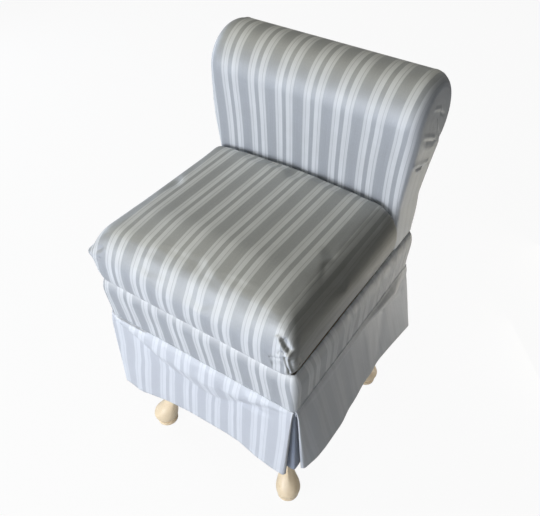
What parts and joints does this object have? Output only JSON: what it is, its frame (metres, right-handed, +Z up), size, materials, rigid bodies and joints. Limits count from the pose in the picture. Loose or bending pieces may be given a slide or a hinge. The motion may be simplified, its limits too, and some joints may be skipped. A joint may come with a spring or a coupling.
{
  "type": "slipper chair",
  "caption": "Armless slipper chair with a rolled back and striped satin upholstery: a sprung hardwood frame on cabriole legs carries a crowned seat pad, a padded band and a pleated skirt.",
  "frame": {"origin": "on the floor under the middle of the chair's bounding box", "axes": "+Z up, -Y to the front where the sitter's knees point, +X to the sitter's left, which is the right of a front view"},
  "size_m": [0.4568, 0.5214, 0.8098],
  "materials": {
    "satin_stripe": "silver-blue satin stripe",
    "lining": "plain blue-grey lining cloth",
    "bleached_wood": "bleached and clear-lacquered hardwood",
    "frame_wood": "unfinished hardwood",
    "spring_steel": "oiled spring steel",
    "foam": "upholstery foam",
    "strap": "woven webbing",
    "burlap": "hessian",
    "card": "tacking card",
    "cambric": "black dust cloth"
  },
  "bodies": {
    "root": {"back_cover": "satin_stripe", "back_foam": "foam", "back_strap_high": "strap", "back_strap_low": "strap", "back_strap_middle": "strap", "back_tack_rail": "frame_wood", "band_front": "satin_stripe", "band_left": "satin_stripe", "band_rear": "satin_stripe", "band_right": "satin_stripe", "crest_rail": "frame_wood", "deck_cloth": "burlap", "dust_cover": "cambric", "front_left_corner_block": "frame_wood", "front_left_leg": "bleached_wood", "front_left_pleat_underlay": "lining", "front_rail": "frame_wood", "front_right_corner_block": "frame_wood", "front_right_leg": "bleached_wood", "front_right_pleat_underlay": "lining", "left_back_board": "frame_wood", "left_back_cleat": "frame_wood", "left_rail": "frame_wood", "left_roll_pad": "foam", "outside_back": "satin_stripe", "rear_left_corner_block": "frame_wood", "rear_left_leg": "bleached_wood", "rear_left_pleat_underlay": "lining", "rear_rail": "frame_wood", "rear_right_corner_block": "frame_wood", "rear_right_leg": "bleached_wood", "rear_right_pleat_underlay": "lining", "right_back_board": "frame_wood", "right_back_cleat": "frame_wood", "right_rail": "frame_wood", "right_roll_pad": "foam", "scroll_front_rail": "frame_wood", "scroll_rear_rail": "frame_wood", "seat_cover": "satin_stripe", "seat_foam": "foam", "seat_spring_1": "spring_steel", "seat_spring_2": "spring_steel", "seat_spring_3": "spring_steel", "seat_spring_4": "spring_steel", "skirt_front": "satin_stripe", "skirt_left": "satin_stripe", "skirt_rear": "satin_stripe", "skirt_right": "satin_stripe", "spring_clip_front_1": "spring_steel", "spring_clip_front_2": "spring_steel", "spring_clip_front_3": "spring_steel", "spring_clip_front_4": "spring_steel", "spring_clip_rear_1": "spring_steel", "spring_clip_rear_2": "spring_steel", "spring_clip_rear_3": "spring_steel", "spring_clip_rear_4": "spring_steel", "tack_strip_front": "card", "tack_strip_left": "card", "tack_strip_rear": "card", "tack_strip_right": "card"}
  },
  "joints": []
}
